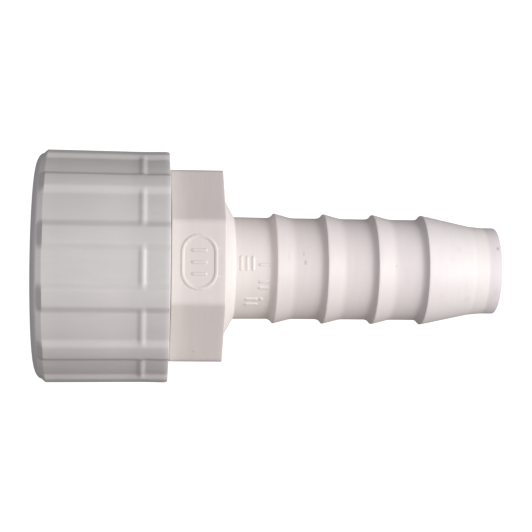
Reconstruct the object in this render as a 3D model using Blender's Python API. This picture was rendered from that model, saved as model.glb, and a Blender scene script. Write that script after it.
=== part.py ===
"""Swivel hose-tail fitting: a barbed hose tail with an octagonal wrench collar and a free-turning ribbed nut.

The fitting's axis is X. The nut's open mouth faces -X and the hose end points to +X, with the origin
on the axis at half the overall length. All stations below are measured along the axis from the mouth.
"""

import math

import bmesh
import bpy
from mathutils import Matrix, Vector

MM = 0.001

# Overall
LENGTH = 71.3 * MM
ROUND_SEGMENTS = 48

# Swivel nut, outside
NUT_LENGTH = 20.2 * MM
NUT_MOUTH_OUTER_RADIUS = 15.0 * MM
NUT_FRONT_ROUNDING = 1.0 * MM
NUT_FRONT_BEVEL_END = 1.75 * MM
NUT_FRONT_BEVEL_SLOPE = math.tan(math.radians(15.5))
PANEL_RADIUS = 17.45 * MM
NUT_TAPER = math.tan(math.radians(0.45))
NUT_BACK_FLARE = math.tan(math.radians(1.0))
NUT_BACK_CHAMFER = 0.2 * MM
NUT_TURN = math.radians(3.3)
BEAD_FRONT = 15.2 * MM
BEAD_CREST = 16.07 * MM
BEAD_BACK = 16.85 * MM
BEAD_HEIGHT = 0.22 * MM

# Grip ribs on the nut
RIB_COUNT = 12
RIB_RADIUS = 18.0 * MM
RIB_TOP_HALF_WIDTH = 1.45 * MM
RIB_SIDE_DRAFT = math.radians(32)
RIB_ROOT_RADIUS = 16.8 * MM
RIB_NOSE_START = 0.95 * MM
RIB_NOSE_START_RADIUS = 17.15 * MM
RIB_NOSE_END = 1.85 * MM
RIB_BACK_INSET = 0.06 * MM

# Swivel nut, inside: a 3/4 in. straight pipe thread, 14 turns to the inch
THREAD_MAJOR_RADIUS = 13.22 * MM
THREAD_MINOR_RADIUS = 12.06 * MM
THREAD_PITCH = 25.4 * MM / 14
THREAD_START = 1.9 * MM
THREAD_END = 10.8 * MM
THREAD_CREST_HALF_WIDTH = 0.17 * MM
THREAD_FLANK_ANGLE = math.radians(30)
THREAD_ROOT_DEPTH = 0.08 * MM
THREAD_END_DEPTH = 0.05 * MM
THREAD_FADE_TURNS = 0.3
MOUTH_INNER_RADIUS = 14.1 * MM
MOUTH_COUNTERSINK = 0.9 * MM
LIP_THICKNESS = 3.2 * MM
LIP_HOLE_RADIUS = 10.7 * MM

# Hose tail
OCTAGON_SIDES = 8
OCTAGON_START = 20.33 * MM
OCTAGON_END = 28.3 * MM
OCTAGON_CORNER_RADIUS = 15.7 * MM
OCTAGON_CORNER_ROUNDING = 0.62 * MM
OCTAGON_EDGE_CHAMFER = 0.15 * MM
CORE_RADIUS = 13.2 * MM
CORE_START = 22.4 * MM
CORE_END = 27.8 * MM
COLLAR_END = 30.2 * MM
COLLAR_FILLET = 6.0 * MM
COLLAR_CONE_ANGLE = math.radians(61.2)
TUBE_RADIUS = 7.84 * MM
BARB_COUNT = 4
FIRST_BARB = 36.44 * MM
LAST_BARB = 59.62 * MM
BARB_RADIUS = 8.52 * MM
BARB_REAR_FILLET = 1.4 * MM
BARB_REAR_ANGLE = math.radians(48)
BARB_CREST_WIDTH = 0.2 * MM
BARB_FRONT = 2.75 * MM
TIP_CONE_END = 67.2 * MM
TIP_CONE_END_RADIUS = 6.94 * MM
TIP_START = 69.3 * MM
TIP_RADIUS = 6.74 * MM
TIP_EDGE = 0.12 * MM
BORE_RADIUS = 5.5 * MM
BORE_COUNTERSINK = 0.2 * MM

# Flanged sleeve, solvent-welded into the hose tail's socket
SOCKET_RADIUS = 10.67 * MM
SOCKET_DEPTH = 6.62 * MM
NECK_RADIUS = 10.37 * MM
SEAT_GAP = 0.3 * MM
FLANGE_RADIUS = 11.9 * MM
FLANGE_FRONT = 13.7 * MM
NUT_FLOAT = 0.6 * MM
SLEEVE_EDGE = 0.3 * MM
SLEEVE_INLET_RADIUS = 7.4 * MM
SLEEVE_INLET_DEPTH = 1.7 * MM

# Sealing washer, resting against the sleeve's flange
WASHER_OUTER_RADIUS = 11.9 * MM
WASHER_INNER_RADIUS = 8.0 * MM
WASHER_THICKNESS = 2.4 * MM
WASHER_EDGE = 0.2 * MM

# Worked out from the values above
LIP_FRONT = NUT_LENGTH - LIP_THICKNESS
FLANGE_BACK = LIP_FRONT - SEAT_GAP - NUT_FLOAT
SOCKET_FLOOR = OCTAGON_START + SOCKET_DEPTH
SLEEVE_END = SOCKET_FLOOR - SEAT_GAP
WASHER_BACK = FLANGE_FRONT - SEAT_GAP
WASHER_FRONT = WASHER_BACK - WASHER_THICKNESS
BARB_PITCH = (LAST_BARB - FIRST_BARB) / (BARB_COUNT - 1)


def clear_scene():
    for obj in list(bpy.data.objects):
        bpy.data.objects.remove(obj)


def plastic(name, colour, roughness):
    material = bpy.data.materials.new(name)
    material.use_nodes = True
    shader = material.node_tree.nodes["Principled BSDF"]
    shader.inputs["Base Color"].default_value = (*colour, 1.0)
    shader.inputs["Roughness"].default_value = roughness
    shader.inputs["Metallic"].default_value = 0.0
    return material


def add_object(name, bm, material, parent):
    """Turns a bmesh into a named object whose origin is on the axis, at the nut's mouth."""
    bmesh.ops.recalc_face_normals(bm, faces=bm.faces)
    mesh = bpy.data.meshes.new(name)
    bm.to_mesh(mesh)
    bm.free()
    mesh.shade_smooth()
    mesh.set_sharp_from_angle(angle=math.radians(30))
    if material:
        mesh.materials.append(material)
    obj = bpy.data.objects.new(name, mesh)
    bpy.context.scene.collection.objects.link(obj)
    obj.parent = parent
    return obj


def add_helper(name, bm, parent):
    """An object that only takes part in Booleans."""
    obj = add_object(name, bm, None, parent)
    obj.hide_render = True
    obj.display_type = "WIRE"
    return obj


def boolean(target, other, operation):
    modifier = target.modifiers.new(f"{operation.lower()} {other.name}", "BOOLEAN")
    modifier.operation = operation
    modifier.object = other
    modifier.solver = "EXACT"


def turned(profile, segments):
    """Spins an outline of (station, radius) points a full turn about the X axis.

    An outline that starts and ends on the axis makes a solid, and any other is closed into a ring.
    """
    bm = bmesh.new()
    verts = [bm.verts.new((station, 0.0, radius)) for station, radius in profile]
    pairs = list(zip(verts, verts[1:]))
    if profile[0][1] > 0:
        pairs.append((verts[-1], verts[0]))
    edges = [bm.edges.new(pair) for pair in pairs]
    bmesh.ops.spin(
        bm,
        geom=verts + edges,
        cent=(0, 0, 0),
        axis=(1, 0, 0),
        angle=math.tau,
        steps=segments,
        use_merge=True,
    )
    bmesh.ops.remove_doubles(bm, verts=bm.verts, dist=0.001 * MM)
    return bm


def arc(centre, radius, start, end, steps):
    """Points on a circle in the (station, radius) plane, from one angle to another."""
    turns = [start + (end - start) * step / steps for step in range(steps + 1)]
    return [(centre[0] + radius * math.cos(a), centre[1] + radius * math.sin(a)) for a in turns]


def side_radius(start_radius, start, station):
    """The nut narrows a little from its mouth to the bead, where its mould parts, and widens behind it."""
    narrowing = NUT_TAPER * (min(station, BEAD_CREST) - start)
    return start_radius - narrowing + NUT_BACK_FLARE * max(0.0, station - BEAD_CREST)


def panel_radius(station):
    return side_radius(PANEL_RADIUS, NUT_FRONT_BEVEL_END, station)


def rib_radius(station):
    return side_radius(RIB_RADIUS, RIB_NOSE_END, station)


def nut_shell_profile():
    """The nut without its ribs: a rounding and a bevel at the mouth, a low bead and an inner lip."""
    bevel_foot_radius = PANEL_RADIUS - NUT_FRONT_BEVEL_SLOPE * NUT_FRONT_BEVEL_END
    rise = bevel_foot_radius - NUT_MOUTH_OUTER_RADIUS
    rounding = []
    for step in range(6):
        turn = math.radians(90) * step / 5
        station = NUT_FRONT_ROUNDING * (1 - math.cos(turn))
        on_bevel = NUT_FRONT_BEVEL_SLOPE * station
        rounding.append((station, NUT_MOUTH_OUTER_RADIUS + rise * math.sin(turn) + on_bevel))
    outside = rounding + [
        (NUT_FRONT_BEVEL_END, PANEL_RADIUS),
        (BEAD_FRONT, panel_radius(BEAD_FRONT)),
        (BEAD_CREST, panel_radius(BEAD_CREST) + BEAD_HEIGHT),
        (BEAD_BACK, panel_radius(BEAD_BACK)),
        (NUT_LENGTH - NUT_BACK_CHAMFER, panel_radius(NUT_LENGTH)),
        (NUT_LENGTH, panel_radius(NUT_LENGTH) - NUT_BACK_CHAMFER),
    ]
    inside = [
        (NUT_LENGTH, LIP_HOLE_RADIUS + SLEEVE_EDGE),
        (NUT_LENGTH - SLEEVE_EDGE, LIP_HOLE_RADIUS),
        (LIP_FRONT, LIP_HOLE_RADIUS),
        (LIP_FRONT, THREAD_MAJOR_RADIUS),
        (MOUTH_COUNTERSINK, THREAD_MAJOR_RADIUS),
        (0.0, MOUTH_INNER_RADIUS),
    ]
    return outside + inside


def rib_profile():
    """One rib seen from its side: a chamfered nose, a top drafted both ways and a short back chamfer."""
    back = NUT_LENGTH - RIB_BACK_INSET
    return [
        (RIB_NOSE_START, RIB_ROOT_RADIUS),
        (RIB_NOSE_START, RIB_NOSE_START_RADIUS),
        (RIB_NOSE_END, RIB_RADIUS),
        (BEAD_CREST, rib_radius(BEAD_CREST)),
        (back - NUT_BACK_CHAMFER, rib_radius(back)),
        (back, rib_radius(back) - NUT_BACK_CHAMFER),
        (back, RIB_ROOT_RADIUS),
    ]


def grip_ribs():
    """The ribs as separate prisms, evenly spaced, with a panel between two of them on top."""
    bm = bmesh.new()
    for index in range(RIB_COUNT):
        turn = Matrix.Rotation(math.tau * (index + 0.5) / RIB_COUNT, 3, "X")
        sides = []
        for side in (-1, 1):
            loop = []
            for station, radius in rib_profile():
                spread = (RIB_RADIUS - radius) * math.tan(RIB_SIDE_DRAFT)
                across = side * (RIB_TOP_HALF_WIDTH + spread)
                loop.append(bm.verts.new(turn @ Vector((station, across, radius))))
            bm.faces.new(loop)
            sides.append(loop)
        near, far = sides
        for i in range(len(near)):
            j = (i + 1) % len(near)
            bm.faces.new((near[i], near[j], far[j], far[i]))
    return bm


def internal_thread():
    """A helical ridge of V section with a flat crest, fading into the wall at both ends."""
    bm = bmesh.new()
    steps = round((THREAD_END - THREAD_START) / THREAD_PITCH * ROUND_SEGMENTS)
    root_radius = THREAD_MAJOR_RADIUS + THREAD_ROOT_DEPTH
    end_radius = THREAD_MAJOR_RADIUS + THREAD_END_DEPTH
    loops = []
    for step in range(steps + 1):
        turn = step / ROUND_SEGMENTS
        turns_to_end = min(step, steps - step) / ROUND_SEGMENTS
        fade = min(1.0, turns_to_end / THREAD_FADE_TURNS)
        crest_radius = end_radius + (THREAD_MINOR_RADIUS - end_radius) * fade
        root_half_width = THREAD_CREST_HALF_WIDTH
        root_half_width += (root_radius - crest_radius) * math.tan(THREAD_FLANK_ANGLE)
        centre = THREAD_START + THREAD_PITCH * turn
        section = [
            (centre - root_half_width, root_radius),
            (centre - THREAD_CREST_HALF_WIDTH, crest_radius),
            (centre + THREAD_CREST_HALF_WIDTH, crest_radius),
            (centre + root_half_width, root_radius),
        ]
        angle = math.tau * turn
        loops.append(
            [
                bm.verts.new((station, -radius * math.sin(angle), radius * math.cos(angle)))
                for station, radius in section
            ]
        )
    for a, b in zip(loops, loops[1:]):
        for i in range(len(a)):
            j = (i + 1) % len(a)
            bm.faces.new((a[i], a[j], b[j], b[i]))
    bm.faces.new(loops[0])
    bm.faces.new(reversed(loops[-1]))
    return bm


def make_swivel_nut(parent, material):
    nut = add_object("swivel_nut", turned(nut_shell_profile(), ROUND_SEGMENTS), material, parent)
    boolean(nut, add_helper("nut_grip_ribs", grip_ribs(), nut), "UNION")
    boolean(nut, add_helper("nut_thread", internal_thread(), nut), "UNION")
    nut.rotation_euler.x = NUT_TURN
    return nut


def octagon_collar():
    """The octagonal wrench collar: a prism with rounded corners, chamfered ends and a flat on top."""
    bm = bmesh.new()
    bmesh.ops.create_circle(bm, cap_ends=True, segments=OCTAGON_SIDES, radius=OCTAGON_CORNER_RADIUS)
    half_side = math.pi / OCTAGON_SIDES
    bmesh.ops.rotate(bm, cent=(0, 0, 0), matrix=Matrix.Rotation(half_side, 3, "Z"), verts=bm.verts)
    to_axis = Matrix.Rotation(math.pi / 2, 3, "Y")
    bmesh.ops.rotate(bm, cent=(0, 0, 0), matrix=to_axis, verts=bm.verts)
    bmesh.ops.translate(bm, vec=(OCTAGON_START, 0, 0), verts=bm.verts)
    extruded = bmesh.ops.extrude_face_region(bm, geom=bm.faces[:])["geom"]
    moved = [item for item in extruded if isinstance(item, bmesh.types.BMVert)]
    bmesh.ops.translate(bm, vec=(OCTAGON_END - OCTAGON_START, 0, 0), verts=moved)
    corners = [e for e in bm.edges if abs(e.verts[0].co.x - e.verts[1].co.x) > MM]
    bmesh.ops.bevel(
        bm, geom=corners, offset=OCTAGON_CORNER_ROUNDING, segments=3, profile=0.5, affect="EDGES"
    )
    rims = [e for e in bm.edges if abs(e.verts[0].co.x - e.verts[1].co.x) < 0.1 * MM]
    bmesh.ops.bevel(bm, geom=rims, offset=OCTAGON_EDGE_CHAMFER, segments=1, affect="EDGES")
    return bm


def collar_curve():
    """The concave back of the wrench collar, from the octagon's back face down to the tube."""
    lean = math.pi / 2 - COLLAR_CONE_ANGLE
    fillet_foot = OCTAGON_END + COLLAR_FILLET * (1 - math.cos(lean))
    fillet_foot_radius = TUBE_RADIUS + (COLLAR_END - fillet_foot) * math.tan(COLLAR_CONE_ANGLE)
    centre = (OCTAGON_END + COLLAR_FILLET, fillet_foot_radius + COLLAR_FILLET * math.sin(lean))
    fillet = arc(centre, COLLAR_FILLET, math.pi, math.pi + lean, 3)
    return fillet + [(COLLAR_END, TUBE_RADIUS)]


def barb_profile(crest, ends_in_tube):
    """One barb: a concave rear that steepens up to a narrow crest, then a long slope towards the hose end."""
    fillet_rise = BARB_REAR_FILLET * (1 - math.cos(BARB_REAR_ANGLE))
    straight = (BARB_RADIUS - TUBE_RADIUS - fillet_rise) / math.tan(BARB_REAR_ANGLE)
    foot = crest - straight - BARB_REAR_FILLET * math.sin(BARB_REAR_ANGLE)
    centre = (foot, TUBE_RADIUS + BARB_REAR_FILLET)
    points = arc(centre, BARB_REAR_FILLET, -math.pi / 2, BARB_REAR_ANGLE - math.pi / 2, 2)
    points += [(crest, BARB_RADIUS), (crest + BARB_CREST_WIDTH, BARB_RADIUS)]
    if ends_in_tube:
        points.append((crest + BARB_FRONT, TUBE_RADIUS))
    return points


def tail_stem_profile():
    """The turned stem from inside the octagon, over the barbs, to the hose end."""
    points = [(CORE_START, 0.0), (CORE_START, CORE_RADIUS), (CORE_END, CORE_RADIUS)]
    points += collar_curve()
    for index in range(BARB_COUNT):
        crest = FIRST_BARB + index * BARB_PITCH
        points += barb_profile(crest, ends_in_tube=index < BARB_COUNT - 1)
    points += [
        (TIP_CONE_END, TIP_CONE_END_RADIUS),
        (TIP_START, TIP_RADIUS),
        (LENGTH - TIP_EDGE, TIP_RADIUS),
        (LENGTH, TIP_RADIUS - TIP_EDGE),
        (LENGTH, 0.0),
    ]
    return points


def bore_profile():
    """The cutter for the socket and the water way, longer than the tail at both ends."""
    beyond = 2 * MM
    return [
        (OCTAGON_START - beyond, 0.0),
        (OCTAGON_START - beyond, SOCKET_RADIUS),
        (SOCKET_FLOOR, SOCKET_RADIUS),
        (SOCKET_FLOOR, BORE_RADIUS),
        (LENGTH - BORE_COUNTERSINK, BORE_RADIUS),
        (LENGTH, BORE_RADIUS + BORE_COUNTERSINK),
        (LENGTH + beyond, BORE_RADIUS + BORE_COUNTERSINK),
        (LENGTH + beyond, 0.0),
    ]


def make_hose_tail(parent, material):
    tail = add_object("hose_tail", octagon_collar(), material, parent)
    stem = turned(tail_stem_profile(), ROUND_SEGMENTS)
    boolean(tail, add_helper("tail_stem", stem, tail), "UNION")
    bore = turned(bore_profile(), ROUND_SEGMENTS)
    boolean(tail, add_helper("tail_bore", bore, tail), "DIFFERENCE")
    return tail


def make_swivel_sleeve(parent, material):
    profile = [
        (FLANGE_FRONT, FLANGE_RADIUS - SLEEVE_EDGE),
        (FLANGE_FRONT + SLEEVE_EDGE, FLANGE_RADIUS),
        (FLANGE_BACK, FLANGE_RADIUS),
        (FLANGE_BACK, NECK_RADIUS),
        (SLEEVE_END - SLEEVE_EDGE, NECK_RADIUS),
        (SLEEVE_END, NECK_RADIUS - SLEEVE_EDGE),
        (SLEEVE_END, BORE_RADIUS),
        (FLANGE_FRONT + SLEEVE_INLET_DEPTH, BORE_RADIUS),
        (FLANGE_FRONT, SLEEVE_INLET_RADIUS),
    ]
    return add_object("swivel_sleeve", turned(profile, ROUND_SEGMENTS), material, parent)


def make_sealing_washer(parent, material):
    profile = [
        (WASHER_FRONT, WASHER_OUTER_RADIUS - WASHER_EDGE),
        (WASHER_FRONT + WASHER_EDGE, WASHER_OUTER_RADIUS),
        (WASHER_BACK - WASHER_EDGE, WASHER_OUTER_RADIUS),
        (WASHER_BACK, WASHER_OUTER_RADIUS - WASHER_EDGE),
        (WASHER_BACK, WASHER_INNER_RADIUS),
        (WASHER_FRONT, WASHER_INNER_RADIUS),
    ]
    return add_object("sealing_washer", turned(profile, ROUND_SEGMENTS), material, parent)


def main():
    clear_scene()
    mouth = bpy.data.objects.new("mouth_centre", None)
    mouth.location = (-LENGTH / 2, 0, 0)
    bpy.context.scene.collection.objects.link(mouth)

    nut_plastic = plastic("nut_pvc", (0.60, 0.575, 0.565), 0.45)
    tail_plastic = plastic("tail_pvc", (0.80, 0.75, 0.74), 0.42)
    rubber = plastic("washer_rubber", (0.03, 0.03, 0.032), 0.75)

    make_swivel_nut(mouth, nut_plastic)
    make_hose_tail(mouth, tail_plastic)
    make_swivel_sleeve(mouth, tail_plastic)
    make_sealing_washer(mouth, rubber)


main()
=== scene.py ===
"""Looks of the swivel hose tail fitting: fine moulded surfaces, PVC and rubber, and a plain studio."""

import math

import bmesh
import bpy
import numpy as np
from mathutils import Matrix, Vector


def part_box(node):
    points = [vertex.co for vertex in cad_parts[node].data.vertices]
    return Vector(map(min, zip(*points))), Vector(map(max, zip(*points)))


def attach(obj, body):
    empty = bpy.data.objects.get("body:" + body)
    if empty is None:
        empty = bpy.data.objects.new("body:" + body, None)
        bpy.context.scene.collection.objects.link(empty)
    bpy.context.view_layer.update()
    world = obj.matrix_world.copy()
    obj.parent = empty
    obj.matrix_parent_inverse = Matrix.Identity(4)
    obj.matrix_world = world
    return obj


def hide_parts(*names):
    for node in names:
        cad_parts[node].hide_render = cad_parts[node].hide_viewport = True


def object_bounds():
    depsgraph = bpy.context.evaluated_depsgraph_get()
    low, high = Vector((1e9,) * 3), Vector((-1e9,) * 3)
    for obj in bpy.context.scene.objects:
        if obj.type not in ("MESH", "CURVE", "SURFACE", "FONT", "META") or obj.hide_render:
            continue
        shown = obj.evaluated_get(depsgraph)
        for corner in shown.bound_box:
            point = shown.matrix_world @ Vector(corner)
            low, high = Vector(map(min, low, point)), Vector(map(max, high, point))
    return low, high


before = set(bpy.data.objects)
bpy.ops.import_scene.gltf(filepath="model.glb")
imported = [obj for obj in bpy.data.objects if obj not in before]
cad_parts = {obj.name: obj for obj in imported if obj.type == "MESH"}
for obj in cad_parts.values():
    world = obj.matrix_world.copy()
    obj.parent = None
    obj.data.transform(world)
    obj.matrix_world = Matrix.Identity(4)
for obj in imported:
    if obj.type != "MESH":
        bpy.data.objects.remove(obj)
cad_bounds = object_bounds()

MM = 0.001
TAU = math.tau

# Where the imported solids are, along the fitting's axis (X)
NUT_LOW, NUT_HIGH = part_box("swivel_nut")
TAIL_LOW, TAIL_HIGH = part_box("hose_tail")
SLEEVE_LOW, SLEEVE_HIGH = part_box("swivel_sleeve")
WASHER_LOW, WASHER_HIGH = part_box("sealing_washer")
MOUTH_X = NUT_LOW[0]


def station(x):
    """Millimetres along the axis from the nut's mouth."""
    return (x - MOUTH_X) / MM


NUT_LENGTH = station(NUT_HIGH[0])
TAIL_START = station(TAIL_LOW[0])
TAIL_END = station(TAIL_HIGH[0])
SLEEVE_START = station(SLEEVE_LOW[0])
SLEEVE_END = station(SLEEVE_HIGH[0])
WASHER_START = station(WASHER_LOW[0])
WASHER_END = station(WASHER_HIGH[0])
OCTAGON_APOTHEM = TAIL_HIGH[2] / MM
SLEEVE_FLANGE_RADIUS = SLEEVE_HIGH[2] / MM
WASHER_RADIUS = WASHER_HIGH[2] / MM

# Sizes below are in millimetres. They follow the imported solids, with softer edges and finer relief.
# Swivel nut: mouth, bevel, side and back
NUT_TURN = math.radians(3.3)
MOUTH_OUTER_RADIUS = 15.0
FRONT_ROUNDING = 1.0
BEVEL_END = 1.75
BEVEL_SLOPE = math.tan(math.radians(15.5))
PANEL_RADIUS = 17.45
NUT_TAPER = math.tan(math.radians(0.45))
BACK_FLARE = math.tan(math.radians(1.0))
BACK_DIP = 0.1
BACK_DIP_START = 0.5
BACK_SOFTENING = (0.8, 0.11)
BACK_ROUNDING = 0.15
BEAD_CREST = 16.2
# The bead's slope at places along it: a long concave foot, a rounded crest and a short foot
BEAD_SLOPES = [
    (15.15, 0.0), (15.45, 0.12), (15.75, 0.36), (15.95, 0.2), (BEAD_CREST, 0.0),
    (16.45, -0.27), (16.62, -0.38), (16.78, -0.2), (17.05, 0.0),
]
# Swivel nut: ribs
RIB_COUNT = 12
RIB_RADIUS = 18.0
RIB_HALF_WIDTH = 1.75
RIB_WALL = 0.72
RIB_CROWN = 0.15
RIB_NOSE_START = (0.95, 17.15)
RIB_NOSE_END = 1.85
# Swivel nut: thread and lip, inside
THREAD_MAJOR = 13.22
THREAD_MINOR = 12.06
THREAD_PITCH = 25.4 / 14
THREAD_START = 1.9
THREAD_END = 10.8
THREAD_CREST_HALF = 0.17
THREAD_FLANK = math.tan(math.radians(30))
THREAD_RUN_OUT = 0.3
MOUTH_INNER_RADIUS = 14.1
MOUTH_COUNTERSINK = 0.9
THREAD_HOLE_START = MOUTH_COUNTERSINK + 0.05
THREAD_HOLE_END = THREAD_END + THREAD_PITCH
LIP_FRONT = 17.0
LIP_HOLE_RADIUS = 10.7

# Hose tail: octagonal collar, stem, barbs and tip
OCTAGON_END = 28.3
OCTAGON_CORNER = 1.5
OCTAGON_EDGE = 0.13
COLLAR_FILLET = 6.0
COLLAR_CONE = (29.04, 10.01)
COLLAR_END = 30.2
TUBE_RADIUS = 7.84
STEM_DRAFT = 0.07
FIRST_BARB = 36.44
BARB_SPACING = 23.18 / 3
BARB_COUNT = 4
BARB_CRESTS = [FIRST_BARB + BARB_SPACING * index for index in range(BARB_COUNT)]
BARB_RADIUS = 8.54
BARB_REAR = 0.53
BARB_FRONT = 2.75
TIP_CONE_END = (67.2, 6.94)
TIP_START = 69.3
TIP_RADIUS = 6.74
# Hose tail, sleeve and washer, inside
BORE_RADIUS = 5.5
SOCKET_RADIUS = 10.67
SOCKET_FLOOR = 26.95
NECK_RADIUS = 10.37
FLANGE_BACK = 16.1
INLET_RADIUS = 7.4
INLET_DEPTH = 1.7
WASHER_HOLE = 8.0

# Raised moulding marks: strokes as ((station, across), (station, across), half-width), in millimetres
MARK_HEIGHT = 0.11
MARK_EDGE = 0.09
MARK_STEP = 0.11
STEM_MARKS_START = 30.6
STEM_MARKS_END = 35.5
PAD_CENTRE = (24.4, 0.0)
PAD_HALF_SIZE = (2.45, 3.85)
PAD_LINE = 0.16
PAD_STROKES = [((23.5, across), (25.3, across), 0.17) for across in (-1.7, 0.0, 1.7)]
STEM_STROKES = [((s, -1.2), (s, 0.6), 0.15) for s in (31.0, 31.9, 32.8)]
STEM_STROKES += [((33.9, across), (35.2, across), 0.16) for across in (-0.1, 2.45, 3.45)]
STEM_STROKES += [((31.9, across), (33.4, across), 0.16) for across in (5.4, 6.4)]
STEM_STROKES += [((34.1, 5.4), (34.12, 5.4), 0.2)]


# --- Mesh tools -------------------------------------------------------------------------------------

def rounded(corners, steps=4):
    """A polyline through (station, radius, fillet) corners, each rounded by an arc of its fillet radius."""
    points = []
    for index, (s, r, fillet) in enumerate(corners):
        here = Vector((s, r))
        if fillet == 0 or index in (0, len(corners) - 1):
            points.append((s, r))
            continue
        to_last = (Vector(corners[index - 1][:2]) - here).normalized()
        to_next = (Vector(corners[index + 1][:2]) - here).normalized()
        half = to_last.angle(to_next) / 2
        centre = here + (to_last + to_next).normalized() * (fillet / math.sin(half))
        start = here + to_last * (fillet / math.tan(half)) - centre
        end = here + to_next * (fillet / math.tan(half)) - centre
        sweep = start.angle_signed(end)
        for step in range(steps + 1):
            arm = start.copy()
            arm.rotate(Matrix.Rotation(-sweep * step / steps, 2))
            points.append(tuple(centre + arm))
    return points


def ring(s, r, angles):
    """Points round the axis at station s and radius r, either of which may differ at each angle."""
    s = np.broadcast_to(np.asarray(s, float), angles.shape)
    r = np.broadcast_to(np.asarray(r, float), angles.shape)
    return np.stack([MOUTH_X + s * MM, -r * MM * np.sin(angles), r * MM * np.cos(angles)], axis=1)


def surface(name, rings, closed_loop):
    """One closed mesh from rings of equal length, whose first and last angles are a full turn apart.

    closed_loop joins the last ring to the first, as in a tube with a hole through it.
    """
    grid = np.array(rings)
    rows, columns = grid.shape[:2]
    vertices = grid.reshape(-1, 3)
    faces = []
    for row in range(rows if closed_loop else rows - 1):
        below = ((row + 1) % rows) * columns
        for column in range(columns - 1):
            here = row * columns + column
            there = below + column
            faces.append((here, here + 1, there + 1, there))
    mesh = bpy.data.meshes.new(name)
    mesh.from_pydata(vertices.tolist(), [], faces)
    bm = bmesh.new()
    bm.from_mesh(mesh)
    bmesh.ops.remove_doubles(bm, verts=bm.verts, dist=0.0005 * MM)
    bmesh.ops.dissolve_degenerate(bm, edges=bm.edges, dist=0.0005 * MM)
    bmesh.ops.recalc_face_normals(bm, faces=bm.faces)
    bm.to_mesh(mesh)
    bm.free()
    return mesh


def piece(name, mesh, body, node, material, sharp_degrees=35):
    """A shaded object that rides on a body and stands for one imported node."""
    mesh.shade_smooth()
    mesh.set_sharp_from_angle(angle=math.radians(sharp_degrees))
    mesh.materials.clear()
    mesh.materials.append(material)
    obj = bpy.data.objects.new(name, mesh)
    bpy.context.scene.collection.objects.link(obj)
    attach(obj, body)
    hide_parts(node)
    return obj


def turned_rings(profile, angles):
    """Round rings from (station, radius) points."""
    return [ring(s, r, angles) for s, r in profile]


# --- Materials --------------------------------------------------------------------------------------

# Paler and deeper colour of each plastic, and of the rubber
NUT_COLOURS = ((0.603, 0.568, 0.553), (0.570, 0.539, 0.526))
NUT_ROUGHNESS = 0.42
TAIL_COLOURS = ((0.80, 0.73, 0.70), (0.755, 0.688, 0.66))
TAIL_ROUGHNESS = 0.5
RUBBER_COLOURS = ((0.045, 0.045, 0.048), (0.012, 0.012, 0.013))
DIRT_COLOUR = (0.16, 0.13, 0.11)
# Streaks run along the nut and round the tail
NUT_STREAK_SCALE = (0.15, 1, 1)
TAIL_STREAK_SCALE = (1, 0.12, 0.12)
# Painted light and shade at stations along the axis: the nut is painted palest and bluest at its mouth,
# darker behind the bevel, paler before its bead and darker across the bead
NUT_PAINTED_SHADING = [
    (0.0, (1.09, 1.1, 1.13)), (1.2, (1.02, 1.02, 1.02)), (4.0, (0.975, 0.975, 0.975)),
    (12.0, (1.03, 1.03, 1.03)), (14.0, (1.015, 1.015, 1.015)), (14.9, (0.98, 0.98, 0.98)),
    (16.9, (0.975, 0.975, 0.975)), (NUT_LENGTH, (1.0, 1.0, 1.0)),
]
# Painted light and shade on the tail: painted light next to the nut, painted shade over the octagonal collar,
# a painted highlight on the tip's cone, a cooler tint towards the tip, and darker at the lip and the end
TAIL_PAINTED_SHADING = [
    (20.3, (0.97, 0.975, 0.96)), (21.0, (0.945, 0.95, 0.94)), (22.0, (0.89, 0.885, 0.88)),
    (23.2, (0.862, 0.85, 0.845)), (27.9, (0.862, 0.85, 0.845)), (28.6, (0.93, 0.935, 0.93)),
    (35.0, (0.93, 0.925, 0.925)), (38.0, (0.895, 0.892, 0.898)), (45.0, (0.897, 0.893, 0.9)),
    (60.0, (0.905, 0.908, 0.923)), (66.0, (0.92, 0.937, 0.953)), (68.0, (0.985, 1.0, 1.0)),
    (69.2, (0.985, 1.0, 1.0)), (69.8, (0.88, 0.885, 0.92)), (TAIL_END - 0.35, (0.88, 0.885, 0.92)),
    (TAIL_END, (0.76, 0.765, 0.8)),
]
# Small marks on the hose tail: (station, across, radius there, half-width, half-length, depth)
TAIL_STAINS = [
    (40.45, 1.8, 7.84, 0.18, 0.5, 0.16),
    (40.7, 0.5, 7.84, 0.2, 0.42, 0.3),
    (38.2, 1.3, 8.15, 0.2, 0.9, 0.06),
    (54.6, 0.1, 7.9, 0.15, 0.2, 0.25),
    (64.5, 2.9, 7.5, 0.5, 0.5, 0.05),
    (63.1, 1.25, 7.8, 0.4, 0.5, 0.04),
    (61.6, -4.4, 8.1, 0.4, 0.6, 0.06),
    (66.0, -4.7, 7.25, 0.6, 0.5, 0.06),
    (70.7, 3.1, 6.74, 0.22, 0.35, 0.4),
    (70.4, -3.6, 6.74, 0.5, 0.8, 0.06),
]


def node(tree, kind, **settings):
    """A new shader node with its settings."""
    made = tree.nodes.new(kind)
    for key, value in settings.items():
        setattr(made, key, value)
    return made


def noise(tree, place, scale, detail=2.0):
    """Grey noise."""
    made = node(tree, "ShaderNodeTexNoise")
    made.inputs["Scale"].default_value = scale
    made.inputs["Detail"].default_value = detail
    tree.links.new(place, made.inputs["Vector"])
    return made.outputs["Fac"]


def ranged(tree, value, source, target=(0.0, 1.0), **settings):
    """A value moved from one range to another, and held inside it."""
    made = node(tree, "ShaderNodeMapRange", **settings)
    made.inputs["From Min"].default_value, made.inputs["From Max"].default_value = source
    made.inputs["To Min"].default_value, made.inputs["To Max"].default_value = target
    tree.links.new(value, made.inputs["Value"])
    return made.outputs["Result"]


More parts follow.
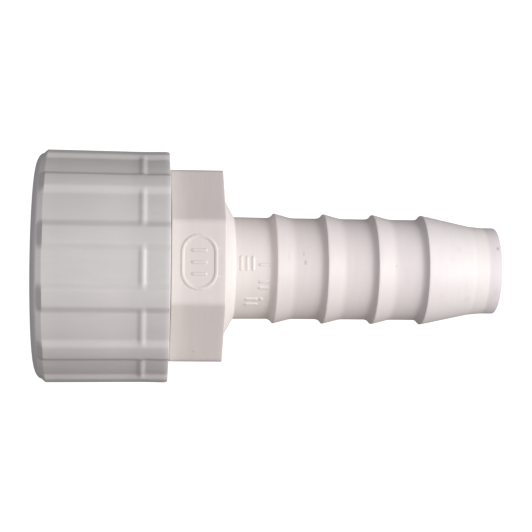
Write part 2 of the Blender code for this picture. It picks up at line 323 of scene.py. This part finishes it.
def combined(tree, operation, a, b):
    """A socket and a second socket or number, put together by a Math node."""
    made = node(tree, "ShaderNodeMath", operation=operation)
    tree.links.new(a, made.inputs[0])
    if isinstance(b, bpy.types.NodeSocket):
        tree.links.new(b, made.inputs[1])
    else:
        made.inputs[1].default_value = b
    return made.outputs["Value"]


def mixed(tree, factor, a, b, blend_type="MIX"):
    """Two colours mixed. Each of factor, a and b is a socket, or a fixed number or colour."""
    made = node(tree, "ShaderNodeMix", data_type="RGBA", blend_type=blend_type)
    for name, value in (("Factor", factor), ("A", a), ("B", b)):
        if isinstance(value, bpy.types.NodeSocket):
            tree.links.new(value, made.inputs[name])
        else:
            made.inputs[name].default_value = (*value, 1) if isinstance(value, tuple) else value
    return made.outputs["Result"]


def colour_ramp(tree, value, stops):
    """A colour picked from (value, colour) stops, from the first stop's value to the last one's."""
    first, last = stops[0][0], stops[-1][0]
    ramp = node(tree, "ShaderNodeValToRGB")
    while len(ramp.color_ramp.elements) < len(stops):
        ramp.color_ramp.elements.new(0.5)
    for element, (at, colour) in zip(ramp.color_ramp.elements, stops):
        element.position = (at - first) / (last - first)
        element.color = (*colour, 1)
    tree.links.new(value, ramp.inputs["Fac"])
    return ramp.outputs["Color"]


def bump(tree, height, strength, depth, shader):
    """Fine relief on a shader's normal."""
    made = node(tree, "ShaderNodeBump")
    made.inputs["Strength"].default_value = strength
    made.inputs["Distance"].default_value = depth * MM
    tree.links.new(height, made.inputs["Height"])
    tree.links.new(made.outputs["Normal"], shader.inputs["Normal"])


def stain_mask(tree, place, stains):
    """Depth of the stains on the upper side."""
    deepest = None
    for s, across, radius, size, length, depth in stains:
        offset = node(tree, "ShaderNodeVectorMath", operation="SUBTRACT")
        height = math.sqrt(radius**2 - across**2)
        offset.inputs[1].default_value = (MOUTH_X + s * MM, across * MM, height * MM)
        tree.links.new(place, offset.inputs[0])
        stretched = node(tree, "ShaderNodeVectorMath", operation="MULTIPLY")
        stretched.inputs[1].default_value = (1 / (size * MM), 1 / (length * MM), 0.5 / (size * MM))
        tree.links.new(offset.outputs["Vector"], stretched.inputs[0])
        distance = node(tree, "ShaderNodeVectorMath", operation="LENGTH")
        tree.links.new(stretched.outputs["Vector"], distance.inputs[0])
        away = distance.outputs["Value"]
        stain = ranged(tree, away, (0.4, 1.3), (depth, 0.0), interpolation_type="SMOOTHSTEP")
        deepest = combined(tree, "MAXIMUM", deepest, stain) if deepest else stain
    return deepest


def painted_shading_along(tree, place, stops):
    """Painted light and shade along the fitting's axis, from (station, colour) stops."""
    parts = node(tree, "ShaderNodeSeparateXYZ")
    tree.links.new(place, parts.inputs["Vector"])
    ends = (MOUTH_X + stops[0][0] * MM, MOUTH_X + stops[-1][0] * MM)
    return colour_ramp(tree, ranged(tree, parts.outputs["X"], ends), stops)


def new_material(name):
    material = bpy.data.materials.new(name)
    material.use_nodes = True
    return material, material.node_tree, material.node_tree.nodes["Principled BSDF"]


def moulded_pvc(name, colours, roughness, fleck_depth, streak_scale, painted_shading, stains=()):
    """Satin PVC: cloudy streaked colour with painted light and shade along its axis, uneven gloss, a fine
    moulded skin, and flecks and stains of dirt.
    """
    material, tree, shader = new_material(name)
    place = node(tree, "ShaderNodeTexCoord").outputs["Object"]

    clouds = noise(tree, place, 90, 4)
    stretched = node(tree, "ShaderNodeMapping")
    stretched.inputs["Scale"].default_value = streak_scale
    tree.links.new(place, stretched.inputs["Vector"])
    streaks = noise(tree, stretched.outputs["Vector"], 1500, 3)
    mottle = combined(tree, "ADD", combined(tree, "MULTIPLY", streaks, 0.7), clouds)
    pale, deep = colours
    body = mixed(tree, ranged(tree, mottle, (0.6, 1.1)), deep, pale)
    # The body colour is multiplied by painted light and shade along the axis
    painted_body = mixed(tree, 1.0, body, painted_shading_along(tree, place, painted_shading), "MULTIPLY")

    cells = node(tree, "ShaderNodeTexVoronoi", feature="F1")
    cells.inputs["Scale"].default_value = 260
    tree.links.new(place, cells.inputs["Vector"])
    specks = ranged(tree, cells.outputs["Distance"], (0.035, 0.06), (1.0, 0.0))
    where = ranged(tree, noise(tree, place, 150), (0.62, 0.68))
    dirt = combined(tree, "MULTIPLY", combined(tree, "MULTIPLY", specks, where), fleck_depth)
    if stains:
        dirt = combined(tree, "MAXIMUM", dirt, stain_mask(tree, place, stains))
    tree.links.new(mixed(tree, dirt, painted_body, DIRT_COLOUR), shader.inputs["Base Color"])

    gloss = ranged(tree, clouds, (0.3, 0.7), (roughness - 0.05, roughness + 0.06))
    tree.links.new(gloss, shader.inputs["Roughness"])
    bump(tree, noise(tree, place, 1400, 3), 0.12, 0.02, shader)
    shader.inputs["IOR"].default_value = 1.53
    shader.inputs["Specular IOR Level"].default_value = 0.4
    shader.inputs["Subsurface Weight"].default_value = 0.12
    shader.inputs["Subsurface Radius"].default_value = (1.0, 0.85, 0.75)
    shader.inputs["Subsurface Scale"].default_value = 0.6 * MM
    return material


def rubber(name):
    """Matt black rubber with a faint bloom."""
    material, tree, shader = new_material(name)
    place = node(tree, "ShaderNodeTexCoord").outputs["Object"]
    bloom = noise(tree, place, 400, 5)
    pale, deep = RUBBER_COLOURS
    tree.links.new(mixed(tree, bloom, deep, pale), shader.inputs["Base Color"])
    tree.links.new(ranged(tree, bloom, (0.0, 1.0), (0.55, 0.8)), shader.inputs["Roughness"])
    bump(tree, bloom, 0.3, 0.03, shader)
    return material


# --- Swivel nut -------------------------------------------------------------------------------------

def nut_angles():
    """Angles round the nut, close together at the ribs' side walls and sparse elsewhere."""
    period = TAU / RIB_COUNT
    wall = [RIB_HALF_WIDTH + RIB_WALL * step / 6 for step in range(-6, 7)]
    half = [0.0, 0.4, 0.8] + wall + [2.8, 3.4, 4.0]  # across the rib, from its middle line
    offsets = [arc / PANEL_RADIUS for arc in half]
    mirrored = [-offset for offset in reversed(offsets[1:])] + offsets
    angles = []
    for rib in range(RIB_COUNT):
        centre = period * (rib + 0.5)
        angles += [centre + offset for offset in mirrored] + [centre + period / 2]
    angles = np.array(sorted(angles))
    return np.append(angles, angles[0] + TAU)


def rib_share(angles):
    """1 along the middle of a rib, 0 on a panel, with a slightly crowned top and rounded corners."""
    period = TAU / RIB_COUNT
    from_rib = angles % period - period / 2
    across = np.abs(from_rib) * PANEL_RADIUS
    climb = np.clip((RIB_HALF_WIDTH + RIB_WALL - across) / (2 * RIB_WALL), 0, 1)
    crown = 1 - RIB_CROWN * (across / RIB_HALF_WIDTH) ** 2
    return climb * climb * (3 - 2 * climb) * crown


def soft_min(a, b, blend):
    """The smaller of two heights, with the corner between them rounded over about the blend."""
    mix = min(1, max(0, 0.5 + 0.5 * (b - a) / blend))
    return b + (a - b) * mix - blend * mix * (1 - mix)


def bead_height(s):
    """Height of the bead at s: its slopes added up, less what is left over at its end."""
    places = np.linspace(BEAD_SLOPES[0][0], BEAD_SLOPES[-1][0], 200)
    slopes = np.interp(places, *zip(*BEAD_SLOPES))
    heights = np.concatenate([[0], np.cumsum((slopes[1:] + slopes[:-1]) / 2)]) * (places[1] - places[0])
    heights -= heights[-1] * np.linspace(0, 1, len(heights))
    return float(np.interp(s, places, heights))


def panel_radius(s):
    """The nut between its ribs: rounded and bevelled at the mouth, then narrowing a little, with one bead."""
    foot = PANEL_RADIUS - BEVEL_SLOPE * BEVEL_END
    turn = math.acos(1 - min(1, s / FRONT_ROUNDING))
    front = MOUTH_OUTER_RADIUS + (foot - MOUTH_OUTER_RADIUS) * math.sin(turn) + BEVEL_SLOPE * s
    side = PANEL_RADIUS - side_drop(s)
    if s > BEAD_CREST:
        share = (s - BEAD_CREST) / (NUT_LENGTH - BEAD_CREST)
        side -= BACK_DIP * (1 - share) ** 2 * min(1, (s - BEAD_CREST) / BACK_DIP_START)
    return soft_min(front, side, 0.02) + bead_height(s)


def side_drop(s):
    """How much the nut has narrowed at s: it narrows to the bead's crest, then widens a little behind it."""
    return NUT_TAPER * (min(s, BEAD_CREST) - BEVEL_END) - BACK_FLARE * max(0, s - BEAD_CREST)


def rib_radius(s):
    """Top of the ribs: nothing before the nose, a slope up the nose, then alongside the nut's side."""
    nose_s, nose_r = RIB_NOSE_START
    if s < nose_s:
        return 0
    nose = nose_r + (RIB_RADIUS - nose_r) * (s - nose_s) / (RIB_NOSE_END - nose_s)
    return soft_min(nose, RIB_RADIUS - side_drop(s), 0.05)


def nut_outer_radius(s, share):
    """The nut's outside at s, between panel (share 0) and rib (share 1), with its softened back edge."""
    panel = panel_radius(s)
    edge = max(0, s - (NUT_LENGTH - BACK_ROUNDING)) / BACK_ROUNDING
    rounding = BACK_ROUNDING * (1 - math.sqrt(max(0, 1 - edge * edge)))
    soft_length, soft_drop = BACK_SOFTENING
    softening = soft_drop * (max(0, s - (NUT_LENGTH - soft_length)) / soft_length) ** 2
    return panel + share * max(0, rib_radius(s) - panel) - rounding - softening


def thread_rings(angles):
    """Rings that run along the helix, so that its crest and root are clean curves."""
    crest = THREAD_CREST_HALF / THREAD_PITCH
    height = THREAD_MAJOR - THREAD_MINOR
    root = crest + height * THREAD_FLANK / THREAD_PITCH
    flank = [root + (crest - root) * t for t in (0, 0.08, 0.2, 0.5, 0.8, 0.92, 1.0)]
    phases = sorted([-p for p in flank] + flank + [0.0, 0.5])
    turns_of = (angles - angles[0]) / TAU
    length = THREAD_END - THREAD_START
    rings = []
    for turn in range(-2, math.ceil(length / THREAD_PITCH) + 2):
        for phase in phases:
            centre_turn = turn + turns_of + angles[0] / TAU
            s = THREAD_START + THREAD_PITCH * (centre_turn + phase)
            progress = THREAD_PITCH * centre_turn
            fade = np.clip(np.minimum(progress, length - progress) / (THREAD_RUN_OUT * THREAD_PITCH), 0, 1)
            fade = fade * fade * (3 - 2 * fade)
            rise = np.clip((root - abs(phase)) / (root - crest), 0, 1)
            rise -= 0.06 * math.sin(TAU * rise)
            radius = THREAD_MAJOR - height * fade * rise
            inside = np.clip(s, THREAD_HOLE_START, THREAD_HOLE_END)
            rings.append(ring(inside, np.where(s != inside, THREAD_MAJOR, radius), angles))
    return rings


def nut_stations():
    """Where the nut's outside has rings: close together at its corners and its bead."""
    front = [FRONT_ROUNDING * (1 - math.cos(math.radians(a))) for a in range(6, 90, 6)]
    nose = [RIB_NOSE_START[0] - 0.01, RIB_NOSE_START[0], 1.0, 1.1, 1.2, 1.3, 1.4, 1.5, 1.6]
    bevel_corner = [1.66, 1.71, 1.75, 1.79, 1.83, 1.87, 1.91, 1.95, 2.0, 2.1]
    side = [2.6, 4.5, 8.0, 12.0, 14.5]
    bead = [BEAD_SLOPES[0][0] + 0.095 * step for step in range(21)]
    back = [17.15, 17.4, 17.8, 18.4, 19.0, 19.3, 19.5, 19.65, 19.8, 19.9, 20.0]
    edge = [NUT_LENGTH - BACK_ROUNDING * (1 - math.sin(math.radians(a))) for a in range(0, 91, 15)]
    return sorted([round(s, 4) for s in front] + nose + bevel_corner + side + bead + back + edge)


def make_nut(material):
    angles = nut_angles()
    share = rib_share(angles)
    turned_angles = angles + NUT_TURN
    outer = [ring(s, nut_outer_radius(s, share), turned_angles) for s in nut_stations()]
    back = rounded(
        [
            (NUT_LENGTH, 16.2, 0),
            (NUT_LENGTH, LIP_HOLE_RADIUS, 0.3),
            (LIP_FRONT, LIP_HOLE_RADIUS, 0.25),
            (LIP_FRONT, THREAD_MAJOR, 0.3),
            (THREAD_HOLE_END, THREAD_MAJOR, 0),
        ]
    )
    mouth = rounded(
        [
            (THREAD_HOLE_START, THREAD_MAJOR, 0),
            (MOUTH_COUNTERSINK, THREAD_MAJOR, 0.05),
            (0.0, MOUTH_INNER_RADIUS, 0.15),
            (0.0, MOUTH_OUTER_RADIUS - 0.1, 0.0),
        ]
    )
    rings = outer + turned_rings(back, turned_angles) + thread_rings(turned_angles)[::-1]
    rings += turned_rings(mouth, turned_angles)
    mesh = surface("nut_shell", rings, closed_loop=True)
    return piece("nut_shell", mesh, "nut", "swivel_nut", material, sharp_degrees=50)


# --- Hose tail --------------------------------------------------------------------------------------

def octagon_radius(angles, inset):
    """Distance from the axis to an octagon with rounded corners, drawn inset from the full outline."""
    apothem = OCTAGON_APOTHEM - inset
    corner = max(0.1, OCTAGON_CORNER - inset)
    half_side = math.pi / 8
    from_flat = np.abs((angles + half_side) % (2 * half_side) - half_side)
    from_corner = half_side - from_flat
    corner_centre = (apothem - corner) / math.cos(half_side)
    across = corner_centre * np.sin(from_corner)
    arc = corner_centre * np.cos(from_corner) + np.sqrt(np.maximum(0, corner**2 - across**2))
    tangent = math.atan2((apothem - corner) * math.tan(half_side), apothem)
    return np.where(from_flat <= tangent, apothem / np.cos(from_flat), arc)


def tail_angles():
    """Angles round the tail, closer together at the octagon's corners and closest under the marks."""
    half_side = math.pi / 8
    offsets = [step / 10 * 0.32 for step in range(10)]
    offsets += [0.32 + (half_side - 0.32) * step / 7 for step in range(8)]
    fine_start, fine_end = math.radians(-17), math.radians(51)
    angles = []
    for side in range(8):
        centre = side * 2 * half_side
        angles += [centre + offset for offset in offsets] + [centre - offset for offset in offsets[1:-1]]
    angles = [angle for angle in angles if not fine_start < (angle + math.pi) % TAU - math.pi < fine_end]
    pad_end = math.radians(17)
    angles += list(np.arange(fine_start, pad_end, math.radians(0.42)))
    angles += list(np.arange(pad_end, fine_end, math.radians(0.75)))
    angles = np.array(sorted(angle % TAU for angle in angles))
    return np.append(angles, angles[0] + TAU)


def stroke_height(distance, half_width):
    """Height of a raised stroke at a distance from its middle line, with soft moulded edges."""
    rise = np.clip((half_width + MARK_EDGE - distance) / MARK_EDGE, 0, 1)
    return MARK_HEIGHT * rise * rise * (3 - 2 * rise)


def strokes_height(strokes, s, across):
    """Height of the highest of several strokes at station s, for each distance across."""
    height = np.zeros_like(across)
    for (s0, a0), (s1, a1), half_width in strokes:
        ds, da = s1 - s0, a1 - a0
        along = np.clip(((s - s0) * ds + (across - a0) * da) / (ds**2 + da**2), 0, 1)
        distance = np.hypot(s - s0 - along * ds, across - a0 - along * da)
        height = np.maximum(height, stroke_height(distance, half_width))
    return height


def pad_height(s, across):
    """A plain oval line with three short bars in it, on the flat that faces up."""
    half_s, half_a = PAD_HALF_SIZE
    over_a = np.maximum(np.abs(across - PAD_CENTRE[1]) - (half_a - half_s), 0)
    outline = np.abs(np.hypot(s - PAD_CENTRE[0], over_a) - half_s)
    return np.maximum(stroke_height(outline, PAD_LINE), strokes_height(PAD_STROKES, s, across))


def stem_radius(s):
    """The tube between the collar and the first barb, which narrows a little from the collar."""
    share = (s - COLLAR_END) / (BARB_CRESTS[0] - BARB_REAR - COLLAR_END)
    return TUBE_RADIUS + STEM_DRAFT * (1 - share)


def barb_corners():
    """Corners of the four barbs: a hollow rear, a narrow crest and a long front."""
    corners = []
    for index, crest in enumerate(BARB_CRESTS):
        corners += [(crest - BARB_REAR, TUBE_RADIUS, 1.25), (crest - 0.02, BARB_RADIUS, 0.12)]
        corners.append((crest + 0.2, BARB_RADIUS - 0.02, 0.4))
        if index < len(BARB_CRESTS) - 1:
            corners.append((crest + BARB_FRONT, TUBE_RADIUS, 4.0))
    return corners


def make_tail(material):
    angles = tail_angles()
    quarter = [math.radians(a) for a in range(0, 91, 15)]
    rings = []
    for a in quarter:
        inset = OCTAGON_EDGE * (1 - math.sin(a))
        s = TAIL_START + OCTAGON_EDGE * (1 - math.cos(a))
        rings.append(ring(s, octagon_radius(angles, inset), angles))
    side = octagon_radius(angles, 0)
    top = (np.cos(angles) > math.cos(math.pi / 8)).astype(float)
    pad_reach = PAD_HALF_SIZE[0] + PAD_LINE + MARK_EDGE + 0.1
    for s in np.arange(PAD_CENTRE[0] - pad_reach, PAD_CENTRE[0] + pad_reach, MARK_STEP):
        rings.append(ring(s, side + top * pad_height(s, side * np.sin(angles)) / np.cos(angles), angles))
    for a in reversed(quarter):
        inset = OCTAGON_EDGE * (1 - math.sin(a))
        s = OCTAGON_END - OCTAGON_EDGE * (1 - math.cos(a))
        rings.append(ring(s, octagon_radius(angles, inset), angles))
    lean = math.acos(1 - (COLLAR_CONE[0] - OCTAGON_END) / COLLAR_FILLET)
    fillet_top = COLLAR_CONE[1] + COLLAR_FILLET * math.sin(lean)
    collar = [
        (
            OCTAGON_END + COLLAR_FILLET * (1 - math.cos(lean * step / 6)),
            fillet_top - COLLAR_FILLET * math.sin(lean * step / 6),
        )
        for step in range(7)
    ]
    profile = collar + rounded(
        [(*COLLAR_CONE, 0), (COLLAR_END, stem_radius(COLLAR_END), 0.1)]
        + barb_corners()
        + [
            (*TIP_CONE_END, 4.0),
            (TIP_START, TIP_RADIUS, 1.5),
            (TAIL_END, TIP_RADIUS, 0.2),
            (TAIL_END, BORE_RADIUS, 0.2),
            (SOCKET_FLOOR, BORE_RADIUS, 0.1),
            (SOCKET_FLOOR, SOCKET_RADIUS, 0.2),
            (TAIL_START, SOCKET_RADIUS, 0.2),
            (TAIL_START, 11.5, 0),
        ]
    )[1:]
    marked = np.arange(STEM_MARKS_START, STEM_MARKS_END, MARK_STEP)
    turn = (angles + math.pi) % TAU - math.pi
    for s, r in profile:
        while len(marked) and marked[0] < s:
            raised = strokes_height(STEM_STROKES, marked[0], TUBE_RADIUS * turn)
            rings.append(ring(marked[0], stem_radius(marked[0]) + raised, angles))
            marked = marked[1:]
        rings.append(ring(s, r, angles))
    mesh = surface("tail_body", rings, closed_loop=True)
    return piece("tail_body", mesh, "tail", "hose_tail", material)


# --- Sleeve and washer ------------------------------------------------------------------------------

def even_angles(count):
    return np.linspace(0, TAU, count + 1)


def make_sleeve(material):
    profile = rounded(
        [
            (SLEEVE_START, 10.0, 0),
            (SLEEVE_START, SLEEVE_FLANGE_RADIUS, 0.3),
            (FLANGE_BACK, SLEEVE_FLANGE_RADIUS, 0.15),
            (FLANGE_BACK, NECK_RADIUS, 0.2),
            (SLEEVE_END, NECK_RADIUS, 0.3),
            (SLEEVE_END, BORE_RADIUS, 0.1),
            (SLEEVE_START + INLET_DEPTH, BORE_RADIUS, 1.0),
            (SLEEVE_START, INLET_RADIUS, 0.2),
            (SLEEVE_START, 10.0, 0),
        ]
    )[:-1]
    mesh = surface("sleeve_body", turned_rings(profile, even_angles(160)), closed_loop=True)
    return piece("sleeve_body", mesh, "tail", "swivel_sleeve", material)


def make_washer(material):
    profile = rounded(
        [
            (WASHER_START, 10.0, 0),
            (WASHER_START, WASHER_RADIUS, 0.25),
            (WASHER_END, WASHER_RADIUS, 0.25),
            (WASHER_END, WASHER_HOLE, 0.15),
            (WASHER_START, WASHER_HOLE, 0.15),
            (WASHER_START, 10.0, 0),
        ]
    )[:-1]
    mesh = surface("washer_ring", turned_rings(profile, even_angles(160)), closed_loop=True)
    return piece("washer_ring", mesh, "washer", "sealing_washer", material)


# --- Studio -----------------------------------------------------------------------------------------

# How bright the studio is in each direction, by that direction's height (Z)
STUDIO_GLOW = [
    (-1.0, 0.28), (-0.64, 0.26), (-0.34, 0.18), (0.0, 0.285), (0.2, 0.355),
    (0.64, 0.36), (0.77, 0.45), (0.87, 0.655), (0.94, 0.92), (1.0, 1.23),
]
# Tints of that light by the direction's Y and X: warmer below, cooler above and behind the mouth
STUDIO_TINT_Y = [
    (-1.0, (0.76, 0.65, 0.56)), (-0.72, (0.99, 0.965, 0.945)), (0.0, (1, 1, 1)),
    (0.72, (0.97, 0.96, 0.97)), (1.0, (0.72, 0.695, 0.7)),
]
STUDIO_TINT_X = [(-1.0, (1.02, 1.05, 1.23)), (-0.6, (0.98, 0.99, 1.06)), (-0.2, (1, 1, 1)), (1.0, (1, 1, 1))]
# The key light leans towards the hose end; its distance, shift and size are in metres
KEY_LEAN_DEGREES = 55
KEY_DISTANCE = 0.42
KEY_SHIFT = -0.008
KEY_SIZE = 0.22
KEY_WATTS = 1.915
KEY_COLOUR = (0.985, 1, 1.03)
FLOOR_HALF_SIZE = 4.0
BACKDROP_RADIUS = 6.0
# The camera, in millimetres and degrees
LENS = 100
SENSOR_WIDTH = 36
CAMERA_DISTANCE = 229
CAMERA_STATION = 14.47
TARGET_STATION = 35.43
CAMERA_RAISE = 0.366
CAMERA_TIP_BACK = 3.3
CAMERA_ROLL = 0.68


def add(name, data):
    """A new object in the scene."""
    obj = bpy.data.objects.new(name, data)
    bpy.context.scene.collection.objects.link(obj)
    return obj


def look_at(obj, place, target, up):
    """Puts an object at a place, with its -Z towards the target."""
    back = (place - target).normalized()
    right = up.cross(back).normalized()
    true_up = back.cross(right)
    obj.matrix_world = Matrix.Translation(place) @ Matrix((right, true_up, back)).transposed().to_4x4()


def stage_surface(name, bm, glow, shade):
    """A white stage surface: mostly its own light, and seen only by the camera."""
    mesh = bpy.data.meshes.new(name)
    bm.to_mesh(mesh)
    bm.free()
    material, _, shader = new_material(name + "_white")
    shader.inputs["Base Color"].default_value = (shade, shade, shade, 1)
    shader.inputs["Roughness"].default_value = 0.9
    shader.inputs["Specular IOR Level"].default_value = 0.0
    shader.inputs["Emission Color"].default_value = (1, 1, 1, 1)
    shader.inputs["Emission Strength"].default_value = glow
    mesh.materials.append(material)
    obj = add(name, mesh)
    obj.visible_diffuse = False
    obj.visible_glossy = False
    obj.visible_transmission = False
    obj.visible_volume_scatter = False
    obj.visible_shadow = False
    return obj


def make_stage():
    """A wide floor under the fitting, and a sphere round everything."""
    bm = bmesh.new()
    bmesh.ops.create_grid(bm, x_segments=1, y_segments=1, size=FLOOR_HALF_SIZE)
    floor = stage_surface("floor", bm, glow=0.93, shade=0.3)
    floor.location.z = cad_bounds[0][2]
    bm = bmesh.new()
    bmesh.ops.create_icosphere(bm, subdivisions=4, radius=BACKDROP_RADIUS)
    backdrop = stage_surface("backdrop", bm, glow=1.0, shade=0.0)


def make_lights():
    """One soft key light, in a studio that glows by direction."""
    lamp = bpy.data.lights.new("key_softbox", "AREA")
    lamp.shape = "RECTANGLE"
    lamp.size = lamp.size_y = KEY_SIZE
    lamp.energy = KEY_WATTS
    lamp.color = KEY_COLOUR
    lean = math.radians(KEY_LEAN_DEGREES)
    place = Vector((KEY_DISTANCE * math.sin(lean), KEY_SHIFT, KEY_DISTANCE * math.cos(lean)))
    look_at(add("key_softbox", lamp), place, Vector((0, 0, 0)), Vector((0, 1, 0)))

    world = bpy.data.worlds.new("studio")
    bpy.context.scene.world = world
    world.use_nodes = True
    tree = world.node_tree
    background = tree.nodes["Background"]
    direction = node(tree, "ShaderNodeSeparateXYZ")
    tree.links.new(node(tree, "ShaderNodeTexCoord").outputs["Generated"], direction.inputs["Vector"])
    x, y, z = (ranged(tree, direction.outputs[axis], (-1.0, 1.0)) for axis in "XYZ")
    glow = colour_ramp(tree, z, [(height, (strength,) * 3) for height, strength in STUDIO_GLOW])
    tree.links.new(glow, background.inputs["Strength"])
    tints = colour_ramp(tree, y, STUDIO_TINT_Y), colour_ramp(tree, x, STUDIO_TINT_X)
    tree.links.new(mixed(tree, 1.0, *tints, "MULTIPLY"), background.inputs["Color"])


def make_camera():
    """A long lens above the nut, turned a little towards the hose end and rolled a little."""
    tip_back = math.radians(CAMERA_TIP_BACK)
    away = Vector((0, -math.sin(tip_back), math.cos(tip_back)))
    up = Vector((0, math.cos(tip_back), math.sin(tip_back)))
    along = Vector((1, 0, 0))
    raised = CAMERA_RAISE * MM * up
    place = along * (MOUTH_X + CAMERA_STATION * MM) + away * CAMERA_DISTANCE * MM + raised
    target = along * (MOUTH_X + TARGET_STATION * MM) + raised
    roll = math.radians(CAMERA_ROLL)
    data = bpy.data.cameras.new("camera")
    data.lens = LENS
    data.sensor_width = SENSOR_WIDTH
    data.clip_start = 0.01
    data.clip_end = 50
    camera = add("camera", data)
    look_at(camera, place, target, up * math.cos(roll) - along * math.sin(roll))
    bpy.context.scene.camera = camera


make_camera()
nut_pvc = moulded_pvc("nut_pvc", NUT_COLOURS, NUT_ROUGHNESS, 0.15, NUT_STREAK_SCALE, NUT_PAINTED_SHADING)
tail_pvc = moulded_pvc(
    "tail_pvc", TAIL_COLOURS, TAIL_ROUGHNESS, 0.6, TAIL_STREAK_SCALE, TAIL_PAINTED_SHADING, TAIL_STAINS
)
make_nut(nut_pvc)
make_tail(tail_pvc)
make_sleeve(tail_pvc)
make_washer(rubber("washer_rubber"))
make_stage()
make_lights()
bpy.context.scene.view_settings.view_transform = "Standard"
